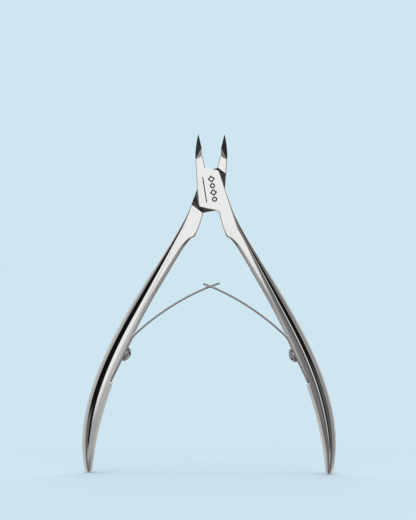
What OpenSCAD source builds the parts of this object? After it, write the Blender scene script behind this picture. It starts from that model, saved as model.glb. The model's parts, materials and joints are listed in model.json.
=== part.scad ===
// Cuticle nipper: two lapped levers on one pivot screw, held open by a pair of crossed leaf springs.
// It stands upright on its handle ends, jaws up and open, as the springs hold it.
// Frame: X runs across the handles, Y from the front face to the back face, Z is up.
// The origin is on the floor, midway between the handle ends. All sizes are in millimetres.
// Outlines are drawn with the jaws shut, as [x, z] from the pivot, for the lever whose handle is at +X.

/* [Overall] */
// Drop from the pivot to the handle ends, jaws shut
handle_drop = 94; // [80:1:110]
// Reach of the outer edge at the handle ends, jaws shut
end_reach = 17.3; // [15:0.1:20]
// Reach of the point that pulls the handle into its bow
bow_reach = 31.7; // [28:0.1:35]
// Rise from the pivot to the jaw tips
jaw_rise = 17.65; // [15.5:0.05:20]
// Angle that the levers close through, in degrees
closing = 26.1; // [20:0.1:30]

/* [Head] */
// Thickness of the head over both lap plates
head_t = 6.8; // [5.6:0.1:8.2]
// Gap between the two lap plates
lap_gap = 0.06; // [0.02:0.01:0.15]
// Angle of the shoulders and of the plate ends
shoulder_tilt = 24; // [20:0.5:28]
// Distance from the pivot to the jaw shoulder
jaw_shoulder = 6.66; // [6.4:0.02:7.4]
// Distance from the pivot to the handle shoulder
handle_shoulder = 7.33; // [6.8:0.01:8]
// Distance from the pivot to the upper end of the lap plate
plate_top = 6.19; // [5.6:0.01:6.2]
// Distance from the pivot to the lower end of the lap plate
plate_low = 5.94; // [5.4:0.01:6.2]

/* [Jaws] */
// Height of the heel of the cutting edge above the pivot
edge_heel = 13; // [12:0.1:14]
// Gap between the two cutting edges when shut
edge_gap = 0.06; // [0.02:0.01:0.2]
// Thickness left at the jaw tips
tip_t = 0.8; // [0.5:0.05:1.4]
// Height where the back bevel of a jaw starts
back_bevel = 8.6; // [7.6:0.1:10]
// Radius of the hollow ground behind the cutting edge
hollow_r = 9; // [7:0.5:14]
// Depth of the hollow behind the cutting edge
hollow_depth = 0.7; // [0.4:0.05:1]
// Width of the flat land between the cutting edge and the hollow
edge_land = 0.12; // [0.08:0.02:0.3]

/* [Handles] */
// Width of a handle at its shoulder
neck_w = 4.2; // [3.6:0.1:5]
// Width that the waist below the stop is pulled towards
waist_w = 3.2; // [2.7:0.1:3.8]
// Width that the grip is pulled towards
grip_w = 9.2; // [7.6:0.1:11]
// Width of a handle at its end
end_w = 2; // [1.6:0.1:3]
// Depth of the grip, from front to back
grip_d = 6.6; // [5.4:0.1:8]
// Depth of a handle at its end
end_d = 3.2; // [2.4:0.1:4.4]
// Chamfer along the inner edges of the grip
inner_chamfer = 0.9; // [0.5:0.05:1.1]
// How far the stop stands in from the handle
stop_rise = 1.2; // [0.8:0.1:1.5]

/* [Pivot screw] */
// Radius of the shank that the back lever turns on
shank_r = 2; // [1.6:0.05:2.4]
// Radius of the threaded end in the front lever
thread_r = 1.5; // [1.2:0.05:1.55]
// Depth of the thread in the front lever
thread_depth = 2.2; // [1.6:0.1:2.5]
// Radius of the screw's flat head
pivot_head_r = 3.1; // [2.6:0.05:3.4]
// Thickness of the screw's flat head
pivot_head_t = 1.3; // [0.9:0.1:1.6]
// Running clearance of the shank and of the head, on the radius
running = 0.03; // [0.01:0.01:0.1]

/* [Springs] */
// Thickness of a leaf
leaf_t = 0.45; // [0.35:0.01:0.6]
// Width of a leaf
leaf_w = 4.6; // [4:0.1:5.6]
// Place of a spring screw along the handle, from 0 at the shoulder to 1 at the end
seat_station = 0.595; // [0.56:0.005:0.63]
// Depth of the flat seat milled for a leaf
seat_depth = 0.3; // [0.2:0.05:0.5]
// Length of the clamped foot above its screw
foot_up = 5.6; // [4.6:0.1:6.6]
// Length of the clamped foot below its screw
foot_down = 9.6; // [6:0.1:11]
// Angle that a leaf is set in from its foot, in degrees
leaf_set = 19; // [12:1:26]
// Drop from the pivot to the crossing of the leaves
cross_drop = 29.9; // [27:0.1:33]
// Slope of the leaves at their crossing, in degrees
cross_slope = 21; // [14:1:26]
// Width of the slot in the right leaf
slot_w = 2.2; // [1.8:0.1:2.6]
// Width of the tongue of the left leaf
tongue_w = 1.6; // [1.2:0.1:1.6]
// Length of the tongue's cross head
cross_head = 1.1; // [0.7:0.1:1.6]
// Gap around the knuckle where a leaf bends
knuckle_gap = 0.06; // [0.03:0.01:0.15]

/* [Spring screws] */
// Radius of the thread
screw_r = 1; // [0.8:0.05:1.2]
// Length of the thread in the handle
screw_depth = 2.8; // [2:0.1:3.2]
// Radius of the round head
screw_head_r = 2.15; // [1.8:0.05:2.2]
// Height of the round head
screw_head_h = 1.7; // [1.2:0.1:2]
// Width of the screwdriver slot
driver_slot = 0.6; // [0.4:0.05:0.8]

/* [Hidden] */

steel = "gainsboro";
dark_steel = "dimgray";
half_open = closing / 2;
// Sizes of cutters: wider than the head, and a run-out past a face.
big = 40;
cut = 1;

// ---- Curves -------------------------------------------------------------------------------------

// Smooth curve from the first value of p to the last, pulled towards those between; t runs 0 to 1.
function curve(p, t) = len(p) == 1 ? p[0]
    : curve([for (i = [0:len(p) - 2]) p[i] * (1 - t) + p[i + 1] * t], t);
function unit(v) = v / norm(v);
// Direction of a curve of points.
function heading(p, t) = unit(curve([for (i = [0:len(p) - 2]) p[i + 1] - p[i]], t));
// Eases from 0 to 1 as t runs from 0 to 1.
function ease(t) = t <= 0 ? 0 : t >= 1 ? 1 : t * t * (3 - 2 * t);
// Turns an [x, z] point anticlockwise as seen from the front.
function turned(p, a) = [p[0] * cos(a) - p[1] * sin(a), p[0] * sin(a) + p[1] * cos(a)];
// Height of the sloping line at the given distance from the pivot; side is +1 or -1 for its tilt.
function line_z(distance, side, x) = (distance - side * x * sin(shoulder_tilt)) / cos(shoulder_tilt);

// ---- Handle: t runs from 0 at the shoulder to 1 at the end ---------------------------------------

neck = [4.85, -5.85];
outer_edge = [neck, [neck[0] + 1.05, neck[1] - (handle_drop + neck[1]) / 6],
    [bow_reach, -0.695 * handle_drop], [end_reach, -handle_drop]];
widths = [neck_w, neck_w, waist_w, grip_w, end_w];

function outer_at(t) = curve(outer_edge, t);
function outward_at(t) = let(d = heading(outer_edge, t)) [-d[1], d[0]];
function inner_at(t) = outer_at(t) - outward_at(t) * curve(widths, t);

// Stations where the taper to the end and the rounded nose start.
taper = 0.8;
nose = 0.987;
// Step from the head's faces down to the handle's.
face_step = 0.05;
// Depth of the handle: a hair under the head, the grip depth, then an elliptic taper to the end.
function depth_at(t) = t < taper ? head_t - 2 * face_step + (grip_d + 2 * face_step - head_t) * ease(t / 0.4)
    : end_d + (grip_d - end_d) * sqrt(1 - 0.98 * pow((t - taper) / (1 - taper), 2));
// Share of the section that is left on the rounded nose.
function nose_at(t) = t < nose ? 1 : sqrt(1 - 0.85 * pow((t - nose) / (1 - nose), 2));
// How far the outer side has turned from a squared edge, 0, into a half ellipse, 1.
function roundness(t) = 0.08 + 0.92 * ease(t / 0.5);
function chamfer_at(t) = 0.2 + (inner_chamfer - 0.2) * ease((t - 0.1) / 0.12);

arc_steps = 7;
section_n = 2 * arc_steps + 6;
grip_start = 0.02;
stations = concat([for (i = [0:34]) grip_start + (nose - grip_start) * i / 34],
    [for (j = [1:4]) nose + (1 - nose) * sin(22.5 * j)]);

// One section of the handle, as [distance from the inner edge, y]: a flat inner side between two
// chamfers, flat faces, and an outer side that is a quarter ellipse, r wide, on each half.
function section(w, d, c, r) = let(deep = (d / 2 - 0.05) * min(1, r / (w - c)),
        arc = [for (k = [0:arc_steps]) [w - r + r * sin(90 * k / arc_steps),
            d / 2 - deep * (1 - cos(90 * k / arc_steps))]])
    concat([[0, c - d / 2], [c, -d / 2]], [for (p = arc) [p[0], -p[1]]],
        [for (k = [arc_steps:-1:0]) arc[k]], [[c, d / 2], [0, d / 2 - c]]);

function ring(t) = let(w = curve(widths, t), full = w * nose_at(t), c = min(chamfer_at(t), full / 4),
        out = outward_at(t), start = inner_at(t) + out * (w - full) / 2)
    [for (p = section(full, depth_at(t) * nose_at(t), c, (full - c) * roundness(t)))
        [start[0] + out[0] * p[0], p[1], start[1] + out[1] * p[0]]];

rings = [for (t = stations) ring(t)];
// The pivot stands so high that the lowest point of the opened handles touches the floor.
pivot_z = -min([for (r = rings, p = r) turned([p[0], p[2]], half_open)[1]]);

module grip() {
    n = section_n;
    last = (len(stations) - 1) * n;
    polyhedron(points = [for (r = rings, p = r) p], faces = concat(
        [[for (k = [n - 1:-1:0]) k], [for (k = [0:n - 1]) last + k]],
        [for (a = [0:n:last - 1], k = [0:n - 1]) [a + k, a + (k + 1) % n, a + n + k]],
        [for (a = [0:n:last - 1], k = [0:n - 1]) [a + (k + 1) % n, a + n + (k + 1) % n, a + n + k]]));
}

// ---- Lever: head outline ------------------------------------------------------------------------

tip = [-edge_gap / 2, jaw_rise];
heel = [-edge_gap / 2, edge_heel];
jaw_root = [-2.72, 9.97];
jaw_edge = [tip, [-0.9, jaw_rise - 1.45], [-2.2, 12.9], jaw_root];
throat_x = -0.31;
crotch = [0.88, -7.6];
plate_right = 3.7;
plate_left = -4.84;

// Station down to which the head runs on into the handle.
neck_t = 0.06;

// Outline of the jaw and the lap plate, down to just below the handle's shoulder.
head_outline = concat(
    [heel, [-0.55, 10.7], [throat_x, 10.4], [throat_x, line_z(plate_top, 1, throat_x)],
        [plate_right, line_z(plate_top, 1, plate_right)], [4.27, -1.3]],
    [for (i = [0:3]) outer_at(neck_t * i / 3)],
    [inner_at(neck_t) + outward_at(neck_t) * 0.4, crotch, [0.16, -line_z(plate_low, -1, 0.16)],
        [plate_left, -line_z(plate_low, -1, plate_left)], [-4.21, 0.67], [-3.42, 5.62]],
    [for (i = [10:-1:0]) curve(jaw_edge, i / 10)]);

// Stations of the stop's corner and of the end of its run down into the waist.
stop_t = 0.135;
stop_end = stop_t + 0.09;
stop_corner = inner_at(stop_t) - outward_at(stop_t) * stop_rise;
// The stop is a bulge on the inner side of the handle, with a concave run down into the waist.
stop_run = [stop_corner + [0.3, -0.6], inner_at(stop_t + 0.02),
    inner_at(stop_end) + outward_at(stop_end) * 0.1];
stop_outline = concat([crotch, stop_corner], [for (i = [0:6]) curve(stop_run, i / 6)],
    [inner_at(stop_end) + outward_at(stop_end), inner_at(neck_t) + outward_at(neck_t)]);

module flat(outline, low, high) {
    translate([0, high, 0]) rotate([90, 0, 0]) linear_extrude(high - low) polygon(outline);
}

// Space that the other lever's plate swings in: everything behind this plate between the shoulders.
module lap_recess() {
    flat([[-big, line_z(jaw_shoulder, -1, -big)], [big, line_z(jaw_shoulder, -1, big)],
        [big, -line_z(handle_shoulder, 1, big)], [-big, -line_z(handle_shoulder, 1, -big)]],
        -lap_gap / 2, head_t);
}

// Removes everything on the far side of the plane through a point, square to the direction n.
module grind(point, n) {
    translate(point) rotate([0, acos(n[2]), atan2(n[1], n[0])])
        translate([-big, -big, 0]) cube([2 * big, 2 * big, big]);
}

// Share of the tip's thickness that stands in front of the middle.
tip_share = 0.25;
// How far below the heel the hollow starts.
hollow_start = 1.5;

// Bevels and hollow of a jaw; side is -1 when its cutting edge is on the side of its own plate.
module jaw_grinding(side) {
    face = head_t / 2;
    tip_y = -tip_share * tip_t;
    edge = unit([0, tip_y + face, jaw_rise - edge_heel]);
    bevel = unit(cross([jaw_root[0] - heel[0], 0, jaw_root[1] - heel[1]], edge));
    rear = unit([0, jaw_rise - back_bevel, face - tip_y - tip_t]);
    across = [0, edge[2], -edge[1]];
    span = edge_land + sqrt(2 * hollow_r * hollow_depth - hollow_depth * hollow_depth);
    mirror([0, side > 0 ? 1 : 0, 0]) {
        grind([heel[0], -face, heel[1]], bevel[1] < 0 ? bevel : -bevel);
        grind([0, face, back_bevel], rear);
        translate([heel[0] + hollow_r - hollow_depth, -face + across[1] * span, edge_heel + across[2] * span])
            rotate([-atan2(edge[1], edge[2]), 0, 0]) translate([0, 0, -hollow_start])
                cylinder(r = hollow_r, h = hollow_start + jaw_rise, $fn = 96);
    }
}

// ---- Seat of a spring on the handle --------------------------------------------------------------

seat_down = heading(outer_edge, seat_station);
seat_point = inner_at(seat_station) + outward_at(seat_station) * seat_depth;
seat_angle = atan2(-seat_down[0], -seat_down[1]);

// Places its children on the seat: +Z up the handle, +X into the handle, the screw at the origin.
module on_seat() {
    translate([seat_point[0], 0, seat_point[1]]) rotate([0, seat_angle, 0]) children();
}

// Run-out of the seat below and above the foot, and how far the cutter stands in from it.
seat_below = 0.4;
seat_above = 1.5;
seat_clear = 4;

module seat_cutter() {
    on_seat() {
        translate([-seat_clear, -big / 2, -foot_down - seat_below])
            cube([seat_clear, big, seat_below + foot_down + foot_up + seat_above]);
        rotate([0, 90, 0]) cylinder(r = screw_r, h = screw_depth, $fn = 48);
    }
}

module lever(side) {
    difference() {
        union() {
            difference() {
                flat(head_outline, -head_t / 2, head_t / 2);
                jaw_grinding(side);
            }
            grip();
            flat(stop_outline, face_step * 2 - head_t / 2, head_t / 2 - face_step * 2);
        }
        lap_recess();
        seat_cutter();
        if (side < 0) front_pivot_hole(); else back_pivot_hole();
    }
}

// ---- Placing: each lever is opened by half of the closing angle ----------------------------------

module stand() {
    translate([0, 0, pivot_z]) children();
}
module as_front() {
    stand() rotate([0, -half_open, 0]) children();
}
module as_back() {
    stand() rotate([0, 0, 180]) rotate([0, -half_open, 0]) children();
}

// ---- Pivot: the screw enters from the back and is threaded into the front lever ------------------

head_sink = 0.05;
head_seat_y = head_t / 2 - pivot_head_t - head_sink;
pivot_slot_turn = 40;

module round_y(r, low, high) {
    translate([0, high, 0]) rotate([90, 0, 0]) cylinder(r = r, h = high - low, $fn = 96);
}
module front_pivot_hole() {
    round_y(thread_r, -lap_gap / 2 - thread_depth, 0);
}
// Drawn in the back lever's own frame, where its plate is on the side of negative Y.
module back_pivot_hole() {
    round_y(shank_r + running, -head_t / 2 - cut, cut);
    round_y(pivot_head_r + running, -head_t / 2 - cut, -head_seat_y);
}

module front_lever() {
    color(steel) as_front() lever(-1);
}

module back_lever() {
    color(steel) as_back() lever(1);
}

module pivot_screw() {
    color(dark_steel) as_front() difference() {
        union() {
            round_y(thread_r, -lap_gap / 2 - thread_depth, 0);
            round_y(shank_r, -lap_gap / 2, head_seat_y + cut / 2);
            round_y(pivot_head_r, head_seat_y, head_seat_y + pivot_head_t);
        }
        rotate([0, pivot_slot_turn, 0])
            translate([-driver_slot / 2, head_seat_y + pivot_head_t / 2, -big / 2])
            cube([driver_slot, pivot_head_t, big]);
    }
}

// ---- Leaf springs: drawn on the +X side, in the open pose ----------------------------------------

// The leaf's middle line leaves the seat, bends in and runs up to the crossing on the centre line.
leaf_root = turned(seat_point - seat_down * foot_up - outward_at(seat_station) * leaf_t / 2, half_open);
foot_up_way = turned(-seat_down, half_open);
leaf_way = turned(foot_up_way, leaf_set);
crossing = [0, -cross_drop];
leaf_reach = 0.31 * norm(crossing - leaf_root);
leaf_line = [leaf_root, leaf_root + leaf_way * leaf_reach,
    crossing + [cos(cross_slope), -sin(cross_slope)] * leaf_reach, crossing];
bend_at = 0.16;
knuckle = curve(leaf_line, bend_at);

function leaf_side(t, side) = let(w = heading(leaf_line, t))
    curve(leaf_line, t) + [-w[1], w[0]] * side * leaf_t / 2;

// Outline of the leaf along its middle line, from t = a to t = b.
function leaf_outline(a, b, steps, end) = concat([for (i = [0:steps]) leaf_side(a + (b - a) * i / steps, 1)],
    end, [for (i = [steps:-1:0]) leaf_side(a + (b - a) * i / steps, -1)]);
// Half circle that closes the outline at the knuckle.
function knuckle_end() = let(w = heading(leaf_line, bend_at), n = [-w[1], w[0]])
    [for (k = [1:7]) knuckle - (n * cos(22.5 * k) + w * sin(22.5 * k)) * leaf_t / 2];

module spring_foot() {
    difference() {
        union() {
            rotate([0, -half_open, 0]) on_seat() translate([-leaf_t, -leaf_w / 2, -foot_down])
                cube([leaf_t, leaf_w, foot_down + foot_up]);
            flat(leaf_outline(0, bend_at, 4, []), -leaf_w / 2, leaf_w / 2);
        }
        translate([knuckle[0], 0, knuckle[1]]) round_y(leaf_t / 2 + knuckle_gap, -leaf_w, leaf_w);
        rotate([0, -half_open, 0]) on_seat() translate([-leaf_t - cut, 0, 0]) rotate([0, 90, 0])
            cylinder(r = screw_r, h = leaf_t + 2 * cut, $fn = 48);
    }
}

// Free part of a leaf, with a straight piece beyond the crossing.
module blade(beyond) {
    way = heading(leaf_line, 1) * beyond;
    flat(concat(leaf_outline(bend_at, 1, 20, [leaf_side(1, 1) + way, leaf_side(1, -1) + way]), knuckle_end()),
        -leaf_w / 2, leaf_w / 2);
}

// Places its children at the crossing: +X back along the leaf, Z square to it.
module at_crossing() {
    translate([crossing[0], 0, crossing[1]]) rotate([0, cross_slope, 0]) children();
}

// Lengths from the crossing: of the slot and the tongue back along the leaf and on past the crossing,
// and of the eye that closes the slot.
slot_back = 1.5;
slot_front = 1.3;
eye_end = 2.3;
tongue_back = 1.5;
tongue_front = 1.9;

module slotted_blade() {
    difference() {
        blade(eye_end);
        at_crossing() translate([-slot_front, -slot_w / 2, -cut])
            cube([slot_front + slot_back, slot_w, 2 * cut]);
    }
}

module tongue_blade() {
    difference() {
        blade(tongue_front + cross_head);
        for (s = [-1, 1]) at_crossing()
            translate([-tongue_front, s * (tongue_w + leaf_w) / 2 - leaf_w / 2, -cut])
                cube([tongue_front + tongue_back, leaf_w, 2 * cut]);
    }
}

module right_spring_foot() {
    color(steel) stand() spring_foot();
}

module left_spring_foot() {
    color(steel) stand() rotate([0, 0, 180]) spring_foot();
}

module right_spring_blade() {
    color(steel) stand() slotted_blade();
}

module left_spring_blade() {
    color(steel) stand() rotate([0, 0, 180]) tongue_blade();
}

// ---- Spring screws --------------------------------------------------------------------------------

// Share of the head's height that its straight rim takes, depth of its slot and the way the slot lies.
head_rim = 0.35;
slot_depth = 0.7;
head_turn = 35;

// Round head as a turned profile, a slot across it and a plain shank for the thread.
module spring_screw() {
    rim = head_rim * screw_head_h;
    dome = screw_head_h - rim;
    dome_r = (pow(screw_head_r, 2) + dome * dome) / (2 * dome);
    on_seat() translate([-leaf_t, 0, 0]) rotate([0, -90, 0]) difference() {
        union() {
            translate([0, 0, -leaf_t - screw_depth])
                cylinder(r = screw_r, h = leaf_t + screw_depth + rim, $fn = 48);
            cylinder(r = screw_head_r, h = rim, $fn = 64);
            intersection() {
                translate([0, 0, screw_head_h - dome_r]) sphere(r = dome_r, $fn = 64);
                cylinder(r = screw_head_r, h = 2 * screw_head_h, $fn = 64);
            }
        }
        rotate(head_turn) translate([-big / 2, -driver_slot / 2, screw_head_h - slot_depth])
            cube([big, driver_slot, big]);
    }
}

module right_spring_screw() {
    color(dark_steel) as_front() spring_screw();
}

module left_spring_screw() {
    color(dark_steel) as_back() spring_screw();
}

front_lever();
back_lever();
pivot_screw();
left_spring_foot();
left_spring_blade();
right_spring_foot();
right_spring_blade();
left_spring_screw();
right_spring_screw();
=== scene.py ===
# Cuticle nipper: polished levers, leaf springs and screws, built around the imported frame.
import json
import math
from types import SimpleNamespace

import bpy
import numpy as np
from bpy.props import FloatProperty, FloatVectorProperty, PointerProperty
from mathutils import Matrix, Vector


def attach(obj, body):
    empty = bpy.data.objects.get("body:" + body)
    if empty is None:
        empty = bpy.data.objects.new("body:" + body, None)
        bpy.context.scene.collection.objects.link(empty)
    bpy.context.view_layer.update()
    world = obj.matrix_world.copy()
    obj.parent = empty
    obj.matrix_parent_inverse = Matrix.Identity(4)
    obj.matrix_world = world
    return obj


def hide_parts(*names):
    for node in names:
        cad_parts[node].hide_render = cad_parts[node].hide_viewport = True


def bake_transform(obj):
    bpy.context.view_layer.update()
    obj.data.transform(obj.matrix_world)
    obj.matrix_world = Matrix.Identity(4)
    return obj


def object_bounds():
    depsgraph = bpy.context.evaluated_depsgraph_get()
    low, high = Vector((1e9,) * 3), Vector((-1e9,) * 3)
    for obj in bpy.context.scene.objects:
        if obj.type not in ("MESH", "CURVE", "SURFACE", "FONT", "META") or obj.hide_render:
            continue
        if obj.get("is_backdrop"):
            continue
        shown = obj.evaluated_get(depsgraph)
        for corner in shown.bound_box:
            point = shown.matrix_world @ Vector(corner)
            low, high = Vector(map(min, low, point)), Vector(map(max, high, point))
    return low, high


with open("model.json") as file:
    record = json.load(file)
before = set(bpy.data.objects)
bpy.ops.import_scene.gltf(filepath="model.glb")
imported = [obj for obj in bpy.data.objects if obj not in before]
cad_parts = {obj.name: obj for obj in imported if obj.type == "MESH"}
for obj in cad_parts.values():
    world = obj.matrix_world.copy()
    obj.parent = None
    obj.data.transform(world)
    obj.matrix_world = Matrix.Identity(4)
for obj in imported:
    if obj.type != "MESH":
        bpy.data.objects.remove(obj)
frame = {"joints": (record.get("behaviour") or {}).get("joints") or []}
CAD_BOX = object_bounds()

bl_info = {
    "name": "Cuticle nipper",
    "version": (1, 0, 0),
    "blender": (4, 5, 0),
    "location": "3D View > Sidebar > Nipper",
    "description": "Polished cuticle nipper with crossed leaf springs",
    "category": "Object",
}

MM = 0.001
JOINTS = {joint["name"]: joint for joint in frame["joints"]}
PIVOT_Z = JOINTS["closing"]["pos_m"][2] / MM
HALF_OPEN = math.radians(JOINTS["closing"]["range_deg"][1]) / 2
HEAD_T = 6.8  # depth of both lever heads, the stock that they are forged from
FACE = HEAD_T / 2

# ---- Sizes and finishes that a user would change --------------------------------------------------


def length(name, description, size):
    """A length property; the size is given in millimetres and kept in metres."""
    return FloatProperty(name=name, description=description, default=size * MM, unit="LENGTH", precision=5)


def angle(name, description, degrees):
    """An angle property; the size is given in degrees and kept in radians."""
    return FloatProperty(name=name, description=description, default=math.radians(degrees), unit="ROTATION")


def share(name, description, value, high=1.0):
    """A plain number from 0 to high."""
    return FloatProperty(name=name, description=description, default=value, min=0, max=high, subtype="FACTOR")


def colour(name, description, value):
    """A colour property, as linear red, green and blue."""
    return FloatVectorProperty(name=name, description=description, default=value, min=0, max=1,
                               subtype="COLOR")


class LeverSizes(bpy.types.PropertyGroup):
    """Sizes of a lever, measured from the pivot with the jaws shut."""
    handle_drop: length("Handle drop", "Drop from the pivot to the handle ends, jaws shut", 94)
    end_reach: length("End reach", "Reach of the outer edge at the handle ends", 17.3)
    bow_reach: length("Bow reach", "Reach of the point that pulls the handle into its bow", 31.7)
    jaw_rise: length("Jaw rise", "Rise from the pivot to the jaw tips", 17.65)
    lap_gap: length("Lap gap", "Gap between the two lap plates", 0.06)
    shoulder_tilt: angle("Shoulder tilt", "Angle of the shoulders and of the plate ends", 24)
    jaw_shoulder: length("Jaw shoulder", "Distance from the pivot to the jaw shoulder", 6.66)
    handle_shoulder: length("Handle shoulder", "Distance from the pivot to the handle shoulder", 7.33)
    plate_top: length("Plate top", "Distance from the pivot to the upper end of the lap plate", 6.19)
    plate_low: length("Plate low", "Distance from the pivot to the lower end of the lap plate", 5.94)
    edge_heel: length("Edge heel", "Height of the heel of the cutting edge above the pivot", 13)
    edge_gap: length("Edge gap", "Gap between the cutting edges when shut", 0.06)
    edge_land: length("Edge land", "Flat land between the cutting edge and the hollow", 0.12)
    tip_t: length("Tip thickness", "Thickness left at the jaw tips", 0.8)
    back_bevel: length("Back bevel", "Height where the back bevel of a jaw starts", 8.6)
    hollow_r: length("Hollow radius", "Radius of the hollow ground behind the cutting edge", 9)
    hollow_depth: length("Hollow depth", "Depth of the hollow behind the cutting edge", 0.7)
    neck_w: length("Neck width", "Width of a handle at its shoulder", 4.2)
    waist_w: length("Waist width", "Width that the waist below the stop is pulled towards", 3.2)
    grip_w: length("Grip width", "Width that the grip is pulled towards", 9.2)
    end_w: length("End width", "Width of a handle at its end", 2)
    grip_d: length("Grip depth", "Depth of the grip from front to back", 6.6)
    end_d: length("End depth", "Depth of a handle at its end", 3.2)
    inner_chamfer: length("Inner chamfer", "Chamfer along the inner edges of the grip", 0.9)
    stop_rise: length("Stop rise", "How far the stop stands in from the handle", 1.2)
    shank_r: length("Shank radius", "Radius of the pivot screw's shank", 2)
    thread_r: length("Thread radius", "Radius of the pivot screw's threaded end", 1.5)
    thread_depth: length("Thread depth", "Depth of the thread in the front lever", 2.2)
    pivot_head_r: length("Pivot head radius", "Radius of the pivot screw's flat head", 3.1)
    pivot_head_t: length("Pivot head thickness", "Thickness of the pivot screw's head", 1.3)
    running: length("Running clearance", "Clearance of the shank and the head, on the radius", 0.03)
    driver_slot: length("Driver slot", "Width of the screwdriver slots", 0.6)


class SpringSizes(bpy.types.PropertyGroup):
    """Sizes of the leaf springs and their screws."""
    leaf_t: length("Leaf thickness", "Thickness of a leaf", 0.45)
    leaf_w: length("Leaf width", "Width of a leaf", 4.6)
    seat_station: share("Seat station", "Place of a spring screw along the handle", 0.595)
    seat_depth: length("Seat depth", "Depth of the flat milled for a leaf", 0.3)
    foot_up: length("Foot above", "Length of the clamped foot above its screw", 5.6)
    foot_down: length("Foot below", "Length of the clamped foot below its screw", 9.6)
    leaf_set: angle("Leaf set", "Angle that a leaf is set in from its foot", 19)
    cross_drop: length("Crossing drop", "Drop from the pivot to the crossing of the leaves", 29.9)
    cross_slope: angle("Crossing slope", "Slope of the leaves at their crossing", 21)
    slot_w: length("Slot width", "Width of the slot in the right leaf", 2.2)
    tongue_w: length("Tongue width", "Width of the tongue of the left leaf", 1.6)
    cross_head: length("Cross head", "Length of the tongue's cross head", 1.1)
    screw_r: length("Screw radius", "Radius of a spring screw's thread", 1)
    screw_depth: length("Screw depth", "Length of the thread in the handle", 2.8)
    screw_head_r: length("Screw head radius", "Radius of the round head", 2.15)
    screw_head_h: length("Screw head height", "Height of the round head", 1.7)


class NipperFinish(bpy.types.PropertyGroup):
    """Colours and roughness of the steels."""
    steel: colour("Polished steel", "Colour of the mirror-polished levers", (0.83, 0.828, 0.825))
    ground: colour("Ground steel", "Colour of the ground jaw faces", (0.46, 0.46, 0.46))
    relief: colour("Relief", "Colour of the satin relief below the jaw bevels", (0.4, 0.4, 0.395))
    # Painted shade: this colour, darkened further by its material, turns the lap faces between the plates,
    # the holes and the screwdriver slots near-black to stand in for the shade there.
    lap: colour("Lapped steel", "Colour of the oiled lap faces", (0.3, 0.3, 0.3))
    # Partly painted shade: the leaves' own brownish grey is set darker to stand in for the shade round their
    # clamped feet.
    spring: colour("Spring steel", "Colour of the rolled leaves", (0.36, 0.34, 0.33))
    screw: colour("Screw steel", "Colour of the turned screws", (0.5, 0.5, 0.51))
    engraving: colour("Engraving", "Colour in the engraved lines", (0.03, 0.03, 0.032))
    polish: share("Polish", "Roughness of the mirror polish", 0.045)
    grinding: share("Grinding", "Roughness of the ground jaw faces", 0.12)


class NipperStage(bpy.types.PropertyGroup):
    """Backdrop, light and camera."""
    backdrop: colour("Backdrop", "Colour of the backdrop and the floor", (0.624, 0.783, 0.871))
    camera_distance: length("Camera distance", "Distance from the camera to the nipper", 1000)
    camera_height: length("Camera height", "Height of the camera above the floor", 65.8)
    camera_side: length("Camera side", "How far the camera stands to the left of the pivot", 0.78)
    view_height: length("View height", "Height that the picture covers at the nipper", 160.7)
    camera_roll: angle("Camera roll", "Turn of the camera about its line of sight", -0.43)


def own_keys(group):
    """Names of the properties that a property group declares itself."""
    return [key for key in group.bl_rna.properties.keys() if key not in ("rna_type", "name")]


def in_mm(group):
    """The sizes of a property group: lengths in millimetres, angles in radians, colours as tuples."""
    values = {}
    for key in own_keys(group):
        value, kind = getattr(group, key), group.bl_rna.properties[key]
        if kind.unit == "LENGTH":
            value /= MM
        values[key] = tuple(value) if kind.is_array else value
    return SimpleNamespace(**values)


# ---- Curves ---------------------------------------------------------------------------------------

SUPPORT = 0.03  # distance of the point that holds a rounded corner in, outside each end of its curve


def curve(points, t):
    """Smooth curve from the first point to the last, pulled towards those between: neighbours are
    mixed in the share t, again and again, until one point is left."""
    p = np.asarray(points, float)
    p = p.reshape(len(p), 1, -1)
    t = np.asarray(t, float).reshape(1, -1, 1)
    while len(p) > 1:
        p = p[:-1] * (1 - t) + p[1:] * t
    return p[0]


def heading(points, t):
    """Unit direction of such a curve: the same mixing, of the steps between the points."""
    d = curve(np.diff(np.asarray(points, float), axis=0), t)
    return d / np.linalg.norm(d, axis=1, keepdims=True)


def ease(t):
    """Rises smoothly from 0 to 1 as t runs from 0 to 1, as three t squared less two t cubed."""
    t = np.clip(t, 0, 1)
    return t * t * (3 - 2 * t)


def turned(p, a):
    """Turns [x, z] points anticlockwise, as seen from the front, by the angle a."""
    p = np.asarray(p, float)
    c, s = math.cos(a), math.sin(a)
    return np.stack([p[..., 0] * c - p[..., 1] * s, p[..., 0] * s + p[..., 1] * c], -1)


def unit(v):
    """The vector at length one."""
    v = np.asarray(v, float)
    return v / np.linalg.norm(v)


def rounded(corners, radii, steps=5):
    """A line through the corners, each cut off at its radius on both sides and bridged by a curve
    that is pulled towards the corner. A support point stands close outside each end of the curve."""
    corners = np.asarray(corners, float)
    line = []
    for i, (corner, radius) in enumerate(zip(corners, radii)):
        if radius == 0:
            line.append(corner)
            continue
        back, on = unit(corners[i - 1] - corner), unit(corners[i + 1] - corner)
        line.append(corner + back * (radius + SUPPORT))
        line.extend(curve([corner + back * radius, corner, corner + on * radius], np.linspace(0, 1, steps)))
        line.append(corner + on * (radius + SUPPORT))
    return np.array(line)


def upright(p):
    """An [x, z] point or direction as [x, 0, z]."""
    return np.array([p[0], 0, p[1]])


# ---- Lever: a body of cross-sections between a left edge and a right edge --------------------------

# Points of the outline are [x, z] from the pivot with the jaws shut and the handle on the right.
NECK = np.array([4.85, -5.85])  # outer end of the handle shoulder
CROTCH = np.array([0.88, -7.6])  # where the front plate's lower edge meets the handle
WEB = ((-3.2, -5.85), (0.62, -7.43))  # lower edge of the back plate, which has a fuller web
JAW_ROOT = np.array([-2.72, 9.97])  # outer end of the jaw's bevel
THROAT_X = -0.31  # inner edge of the jaw below its cutting edge
PLATE_RIGHT = 3.7  # right corner of the plate's upper end
PLATE_LEFT = -4.84  # left corner of the plate's lower end
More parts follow.
